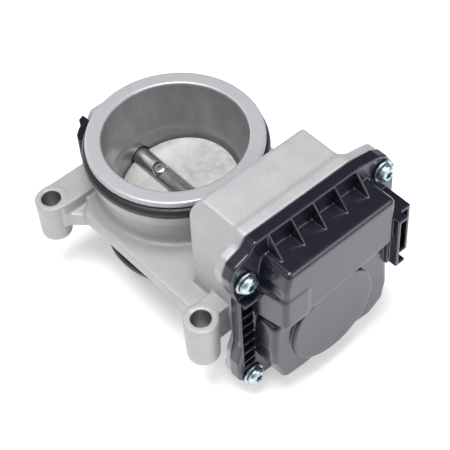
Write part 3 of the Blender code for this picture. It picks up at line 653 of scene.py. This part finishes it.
def drilled(grid, solid):
    """Bolt holes, shaft bore, bearing seats, screw holes and sockets."""
    for x, y, _, _ in LUGS:
        hole = np.hypot(grid.x - x, grid.y - y) - LUG_HOLE_R
        solid = carved(solid, np.broadcast_to(hole, solid.shape), 0.5)
    line = disc(grid.y, grid.z, (0.0, SHAFT_Z), 0.0)
    solid = carved(solid, extruded(line - 4.9, grid.x, -60.0, 60.0), 0.3)
    solid = carved(solid, extruded(line - 8.3, grid.x, -60.0, -37.7), 0.3)
    solid = carved(solid, extruded(line - 9.5, grid.x, 46.0, 60.0), 0.3)
    for place in COVER_SCREWS:
        solid = carved(solid, extruded(disc(grid.y, grid.z, place, 2.6), grid.x, 68.0, 80.0), 0.3)
    for place in MOTOR_SCREWS:
        solid = carved(solid, extruded(disc(grid.y, grid.z, place, 1.8), grid.x, 60.0, 72.0), 0.3)
    return carved(solid, extruded(disc(grid.y, grid.z, IDLER, 2.8), grid.x, 58.0, 75.0), 0.3)


def housing_sheets(centre):
    """Material of each face: cast skin, machined rim, bored wall, or a drilled hole."""
    x, y, z = centre.T
    radius = np.hypot(x, y)
    sheet = np.zeros(len(centre))
    sheet[(radius < 37.9) & (z > RIM_TOP - 0.35)] = 1
    sheet[(radius < 31.5) & (z > -15.5)] = 2
    for lug_x, lug_y, top, _ in LUGS:
        sheet[(np.hypot(x - lug_x, y - lug_y) < LUG_HOLE_R + 0.2) & (z < top - 0.2)] = 3
    return sheet


def housing():
    grid = Grid((-56.5, -57.5, -18.0), (78.0, 55.5, 70.0), HOUSING_STEP)
    body = blended(plate_and_webs(grid), tube_foot(grid), 3.0)
    body = blended(body, lugs(grid), 1.6)
    case = blended(gear_case(grid), case_flare(grid), 3.5)
    body = blended(body, case, 1.2)
    body = blended(body, shaft_bosses(grid), 1.6)
    body = np.minimum(body, bore_outside(grid))
    body = np.maximum(body, grid.x - JOINT)
    low, high, deep = GROOVE
    band = extruded(np.hypot(grid.x, grid.y) - 40.6, grid.z, low, high)
    ring = np.maximum(band, deep - np.hypot(grid.x, grid.y))
    body = carved(body, ring, 0.2)
    body = carved(body, bore_space(grid), 0.4)
    body = carved(body, case_space(grid), 0.4)
    body = drilled(grid, body)
    mesh = surface_mesh("housing_casting", body, grid, housing_sheets)
    piece = piece_from("housing_casting", mesh, "housing", "cast_aluminium", CAST, RIM, BORE, HOLE)
    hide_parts("throttle_housing")


# ---------------------------------------------------------------- cover


def cover_gussets(grid):
    side = (
        (COVER_RIM - 1.0, 69.2), (COVER_RIM - 1.0, 58.0), (89.6, 58.0), (89.6, 59.9), (COVER_RIM + 0.5, 68.6),
    )
    flat = polygon(grid.x, grid.z, side)
    return joined([extruded(flat, grid.y, y - GUSSET_HALF, y + GUSSET_HALF, 0.2) for y in GUSSETS_Y])


def side_ribs(grid):
    """The ribs across the channel beside the lower body, and the strut under the upper screw."""
    strut = cuboid(grid, (79.0, 86.5), (-39.0, -24.0), (42.6, 43.8), 0.3)
    heights = np.arange(CHANNEL_Z[0] + 3.4, CHANNEL_Z[1] - 2.0, RIB_PITCH)
    ribs = [
        cuboid(grid, (78.0, 81.5), (-37.4, -30.0), (z - RIB_HALF, z + RIB_HALF), 0.2) for z in heights
    ]
    return joined([strut, *ribs])


def plug_shroud(grid):
    middle = (PLUG_Y[0] + PLUG_Y[1]) / 2
    outer = cuboid(grid, (79.0, PLUG_FRONT[1]), (29.6, PLUG_Y[1]), PLUG_Z, 0.5)
    inner = cuboid(grid, (79.5, PLUG_FRONT[0]), (PLUG_Y[0], middle), PLUG_Z, 0.4)
    latch = cuboid(grid, (84.0, 92.0), (PLUG_Y[1] - 1, PLUG_Y[1] + 2.2), (28.3, 36.5), 0.4)
    return joined([outer, inner, latch])


def cover_inside(grid):
    back = COVER_BACK - 3.0
    lower = polygon(grid.y, grid.z, inset(COVER_LOWER, COVER_WALL), 1.0)
    room = extruded(lower, grid.x, back, LOWER_FRONT - COVER_WALL, 0.6)
    box = polygon(grid.y, grid.z, inset(COVER_BOX, COVER_WALL), 1.0)
    room = np.minimum(room, extruded(box, grid.x, back, BOX_FRONT - COVER_WALL, 0.6))
    bulge = disc(grid.y, grid.z, DISC_YZ, DISC_BULGE_R - COVER_WALL)
    room = np.minimum(room, extruded(bulge, grid.x, 88.0, DISC_FRONT - COVER_WALL, 0.6))
    pin_boss = extruded(disc(grid.y, grid.z, IDLER, 4.6), grid.x, 89.2, 100.0)
    return -blended(-room, pin_boss, 0.5)


def cover_body(grid):
    flange = extruded(polygon(grid.y, grid.z, COVER_FLANGE, 2.5), grid.x, COVER_BACK, COVER_RIM, 0.7)
    lower = extruded(polygon(grid.y, grid.z, COVER_LOWER, 3.4), grid.x, COVER_BACK + 1.0, LOWER_FRONT, 2.6)
    lower_room = blended(flange, lower, 0.8)
    bulge = extruded(disc(grid.y, grid.z, DISC_YZ, DISC_BULGE_R), grid.x, 88.0, DISC_FRONT, 0.9)
    body = blended(lower_room, bulge, 0.5)
    box = extruded(polygon(grid.y, grid.z, COVER_BOX, 2.8), grid.x, COVER_BACK + 2.0, BOX_FRONT, 2.3)
    wedge = extruded(polygon(grid.x, grid.y, COVER_WEDGE, 2.0), grid.z, *WEDGE_Z, 1.2)
    body = blended(body, blended(box, wedge, 1.5), 0.6)
    channel = cuboid(grid, (78.8, 84.0), CHANNEL_Y, CHANNEL_Z, 0.5)
    body = carved(body, channel, 0.5)
    body = np.minimum(body, side_ribs(grid))
    body = np.minimum(body, cover_gussets(grid))
    return blended(body, plug_shroud(grid), 0.6)


def cover_cuts(grid, body):
    for y, z in DISC_NOTCHES:
        notch = cuboid(grid, (93.4, 96.0), (y - 1.1, y + 1.1), (z - 0.9, z + 0.9), 0.3)
        body = carved(body, notch, 0.3)
    body = carved(body, extruded(disc(grid.y, grid.z, DISC_PIP, 0.9), grid.x, 93.6, 98.0), 0.3)
    body = carved(body, cover_inside(grid), 0.4)
    socket = cuboid(grid, (PLUG_BASE, 104.0), (PLUG_Y[0] + PLUG_WALL, PLUG_Y[1] - PLUG_WALL),
                    (PLUG_Z[0] + PLUG_WALL, PLUG_Z[1] - PLUG_WALL), 0.4)
    body = carved(body, socket, 0.3)
    for z in terminal_heights():
        hole = cuboid(grid, (76.0, 85.0), (PIN_Y - 0.75, PIN_Y + 0.75), (z - 0.75, z + 0.75))
        body = carved(body, hole, 0.2)
    for place in COVER_SCREWS:
        hole = disc(grid.y, grid.z, place, 2.8)
        body = carved(body, np.broadcast_to(hole, body.shape), 0.3)
    seal = np.abs(polygon(grid.y, grid.z, SEAL_LINE, 4.0)) - 1.05
    return carved(body, extruded(seal, grid.x, 70.0, COVER_BACK + 2.2), 0.2)


def gear_cover():
    grid = Grid((74.5, -43.5, -24.5), (100.5, 48.0, 71.0), COVER_STEP)
    body = cover_cuts(grid, cover_body(grid))
    mesh = surface_mesh("cover_moulding", body, grid)
    piece = piece_from("cover_moulding", mesh, "housing", "black_plastic", BLACK)
    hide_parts("gear_cover")


def terminal_heights():
    middle = (PLUG_Z[0] + PLUG_Z[1]) / 2
    return [middle + PIN_PITCH * (k - (PINS - 1) / 2) for k in range(PINS)]


# ---------------------------------------------------------------- small pieces


def o_rings():
    turns = [2 * math.pi * k / 28 for k in range(28)]
    for name, radius, height, cord in O_RINGS:
        section = [(radius + cord * math.cos(t), height + cord * math.sin(t)) for t in turns]
        mesh = turned(f"{name}_cord", section, "z", steps=160)
        piece = piece_from(f"{name}_cord", mesh, "housing", "black_rubber", RUBBER)
        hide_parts(name)


def star(radius, depth, steps=72):
    """A six-lobed drive outline."""
    points = []
    for k in range(steps):
        t = 2 * math.pi * k / steps
        reach = radius + depth * math.cos(6 * t)
        points.append((reach * math.cos(t), reach * math.sin(t)))
    return points


def cover_screws():
    for index, (y, z) in enumerate(COVER_SCREWS, 1):
        low = COVER_RIM + SEAT_GAP
        washer = (
            (2.6, low), (4.6, low), (4.85, low + 0.25), (4.85, low + 0.8), (4.6, low + 1.1), (2.6, low + 1.1),
        )
        piece = piece_from(f"washer_{index}", turned(f"washer_{index}", washer, "x", (y, z)), "housing",
                           "zinc_plated_steel", ZINC)
        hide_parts(f"cover_washer_{index}")
        seat = low + 1.4
        head = (
            (0.0, 68.8), (1.9, 68.8), (2.3, 69.4), (2.3, seat), (3.75, seat), (3.98, seat + 0.3),
            (3.98, seat + 1.0), (3.75, seat + 1.5), (3.2, seat + 2.1), (2.7, seat + 2.5), (2.3, seat + 2.6),
            (0.0, seat + 2.6),
        )
        screw = piece_from(f"screw_{index}", turned(f"screw_{index}", head, "x", (y, z)), "housing",
                           "zinc_plated_steel", ZINC)
        outline = [(y + a, z + b) for a, b in star(1.62, 0.3)]
        cut(screw, extrusion(f"drive_{index}", outline, "x", seat + 0.7, seat + 4.0))
        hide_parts(f"cover_screw_{index}")


def throttle_disc():
    rim = ((0.0, -1.0), (DISC_R - 0.5, -1.0), (DISC_R - 0.1, -0.6), (DISC_R, 0.0), (DISC_R - 0.1, 0.6),
           (DISC_R - 0.5, 1.0), (0.0, 1.0))
    mesh = turned("throttle_disc", rim, "z", steps=160, tilt=REST_DEG)
    piece = piece_from("throttle_disc", mesh, "throttle", "machined_aluminium", DISC_METAL)
    through = ((0.0, -3.0), (1.9, -3.0), (1.9, 3.0), (0.0, 3.0))
    holes = [turned("hole", through, "z", (side * PLATE_SCREW_X, 0.0), 40, REST_DEG) for side in (-1, 1)]
    stamp = turned("stamp", ((1.1, 0.85), (1.1, 1.6), (1.45, 1.6), (1.45, 0.85)), "z", STAMP, 40, REST_DEG)
    cut(piece, *holes, stamp)
    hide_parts("throttle_plate")


def throttle_bar():
    start, end = SHAFT_ENDS
    step = 83.2
    profile = ((0.0, start), (SHAFT_R - 0.6, start), (SHAFT_R, start + 0.6), (SHAFT_R, step - 0.2),
               (SHAFT_R - 0.2, step), (3.4, step), (3.4, end + 2.2), (3.2, end + 2.4), (0.0, end + 2.4))
    mesh = turned("throttle_bar", profile, "x", tilt=REST_DEG)
    piece = piece_from("throttle_bar", mesh, "throttle", "steel", SHAFT_METAL)
    reach, half = DISC_R + 0.35, 1.3
    outline = ((-reach, -8.0), (reach, -8.0), (reach, 8.0), (-reach, 8.0))
    slot = extrusion("slot", outline, "z", -half, half, REST_DEG)
    hole = ((0.0, -6.0), (1.9, -6.0), (1.9, 2.9), (3.5, 2.9), (3.5, 6.0), (0.0, 6.0))
    seats = [turned("seat", hole, "z", (side * PLATE_SCREW_X, 0.0), 48, REST_DEG) for side in (-1, 1)]
    cut(piece, slot, *seats)
    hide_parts("throttle_shaft")


def plate_screws():
    for label, side in (("outer", -1), ("inner", 1)):
        place = (side * PLATE_SCREW_X, 0.0)
        profile = ((0.0, -4.3), (1.2, -4.3), (1.5, -4.0), (1.5, 3.2), (2.95, 3.2), (3.1, 3.4), (3.05, 4.0),
                   (2.6, 4.55), (1.9, 4.78), (0.0, 4.8))
        mesh = turned(f"disc_screw_{label}", profile, "z", place, 64, REST_DEG)
        piece = piece_from(f"disc_screw_{label}", mesh, "throttle", "zinc_plated_steel", STEEL)
        outline = [(place[0] + a, place[1] + b) for a, b in star(1.3, 0.36)]
        cut(piece, extrusion("drive", outline, "z", 3.4, 6.0, REST_DEG))
        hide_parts(f"plate_screw_{label}")


def bearing_plug():
    profile = (
        (0.0, -51.0), (7.7, -51.0), (8.0, -51.3), (8.0, -53.6), (7.8, -53.9), (7.2, -53.9), (7.0, -53.7),
        (6.7, -52.5), (6.3, -52.2), (0.0, -52.2),
    )
    mesh = turned("plug_cup", profile, "x", (0.0, SHAFT_Z))
    piece = piece_from("plug_cup", mesh, "housing", "steel", STEEL)
    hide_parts("bearing_plug")


def harness_clip():
    outline = ((-53.8, -10.1), (-52.6, -13.3), (-49.2, -15.0), (-48.2, -16.8), (-46.0, -19.6), (-42.0, -21.8),
               (-40.9, -20.6), (-44.4, -17.6), (-45.0, -14.6), (-44.4, -10.1))
    mesh = extrusion("loom_clip", outline, "z", 14.0, 25.2)
    piece = piece_from("loom_clip", mesh, "housing", "black_plastic", BLACK)
    notch = ((-60.0, -19.6), (-50.6, -19.6), (-50.6, -11.6), (-60.0, -11.6))
    cut(piece, extrusion("notch", notch, "z", 17.4, 21.6))
    bevelled(piece, 0.4)
    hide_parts("harness_clip")


def terminals():
    left, right = PIN_Y - PIN_HALF, PIN_Y + PIN_HALF
    for index, z in enumerate(terminal_heights(), 1):
        low, high = z - PIN_HALF, z + PIN_HALF
        outline = ((left, low), (right, low), (right, high), (left, high))
        name = f"pin_{index}"
        mesh = extrusion(name, outline, "x", 80.4, 93.0)
        piece = bevelled(piece_from(name, mesh, "housing", "brass", BRASS), 0.15, 2)
        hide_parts(f"terminal_{index}")


def inner_pieces():
    """CAD nodes that keep their shape and get a finish."""
    gear_plastic = plain("gear_plastic", (0.74, 0.71, 0.63), 0.0, 0.45, 2.0)
    copper = plain("copper_windings", (0.60, 0.26, 0.13), 0.9, 0.35, 0.7)
    board = plain("circuit_board", (0.02, 0.15, 0.06), 0.0, 0.45, 1.5)
    finishes = {
        STEEL: (
            "far_shaft_bearing", "near_shaft_bearing", "return_spring", "closed_stop_pin", "open_stop_pin",
            "idler_pin", "motor_can", "motor_bracket", "motor_shaft", "sensor_magnet",
        ),
        ZINC: ("motor_screw_1", "motor_screw_2"),
        gear_plastic: ("sector_gear", "idler_gear"),
        copper: ("motor_armature",),
        BRASS: ("motor_pinion",),
        board: ("sensor_board",),
        BLACK: ("sensor_chip",),
        RUBBER: ("cover_seal",),
    }
    for finish, names in finishes.items():
        for name in names:
            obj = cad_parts[name]
            for place in obj.material_slots:
                place.material = finish


# ---------------------------------------------------------------- camera, floor and light


def camera():
    made = bpy.data.objects.new("camera", bpy.data.cameras.new("camera"))
    bpy.context.scene.collection.objects.link(made)
    right, up = Vector(CAMERA_RIGHT), Vector(CAMERA_UP)
    back = right.cross(up).normalized()
    up = back.cross(right).normalized()
    turn = Matrix((right, up, back)).transposed().to_4x4()
    made.matrix_world = Matrix.Translation(Vector(CAMERA_AT) * MM) @ turn
    made.data.lens = CAMERA_LENS
    made.data.sensor_width = 36.0
    made.data.clip_start = 0.01
    bpy.context.scene.camera = made


def floor():
    low = cad_box[0][2] - 0.0003
    shape = bmesh.new()
    size = 6.0
    for x, y in ((-size, -size), (size, -size), (size, size), (-size, size)):
        shape.verts.new((x, y, low))
    shape.faces.new(shape.verts)
    mesh = bpy.data.meshes.new("floor")
    shape.to_mesh(mesh)
    shape.free()
    obj = bpy.data.objects.new("floor", mesh)
    bpy.context.scene.collection.objects.link(obj)
    finish = Finish("floor_paper", (0.93, 0.93, 0.93), 0.0, 0.9)
    finish.vary_color(finish.noise(40.0, 2.0), 0.995, 1.0)
    finish.set("Emission Color", (1.0, 1.0, 1.0, 1.0))
    finish.set("Emission Strength", 0.27)
    mesh.materials.append(finish.material)


def softbox(name, place, target, size, watts):
    data = bpy.data.lights.new(name, "AREA")
    data.shape = "RECTANGLE"
    data.size, data.size_y = size
    data.energy = watts
    obj = bpy.data.objects.new(name, data)
    bpy.context.scene.collection.objects.link(obj)
    obj.location = place
    obj.rotation_euler = (Vector(target) - Vector(place)).to_track_quat("-Z", "Y").to_euler()


def lights():
    world = bpy.data.worlds.new("studio")
    world.use_nodes = True
    tree = world.node_tree
    sky = tree.nodes["Background"]
    sky.inputs["Color"].default_value = (1.0, 1.0, 1.0, 1.0)
    place = tree.nodes.new("ShaderNodeTexCoord")
    toward = tree.nodes.new("ShaderNodeVectorMath")
    toward.operation = "DOT_PRODUCT"
    toward.inputs[1].default_value = DARK_SKY
    tree.links.new(place.outputs["Generated"], toward.inputs[0])
    fade = tree.nodes.new("ShaderNodeMapRange")
    fade.inputs["From Min"].default_value = 0.55
    fade.inputs["From Max"].default_value = 0.92
    fade.inputs["To Min"].default_value = 0.3
    fade.inputs["To Max"].default_value = 0.08
    tree.links.new(toward.outputs["Value"], fade.inputs["Value"])
    tree.links.new(fade.outputs["Result"], sky.inputs["Strength"])
    bpy.context.scene.world = world
    middle = (0.02, 0.0, 0.02)
    softbox("top", (0.05, -0.1, 0.95), middle, (0.55, 0.55), 11.0)
    softbox("key", (-0.1, -0.85, 0.6), middle, (0.7, 0.7), 1.4)
    softbox("front", (0.95, 0.1, 0.5), middle, (0.9, 0.9), 2.2)
    softbox("table", (0.42, 0.22, 0.28), (0.3, 0.16, -0.02), (0.35, 0.35), 0.9)
    softbox("back", (-0.9, -0.1, 0.5), middle, (0.6, 0.6), 1.6)
    bpy.context.scene.view_settings.view_transform = "Standard"


camera()
housing()
gear_cover()
o_rings()
cover_screws()
throttle_disc()
throttle_bar()
plate_screws()
bearing_plug()
harness_clip()
terminals()
inner_pieces()
floor()
lights()
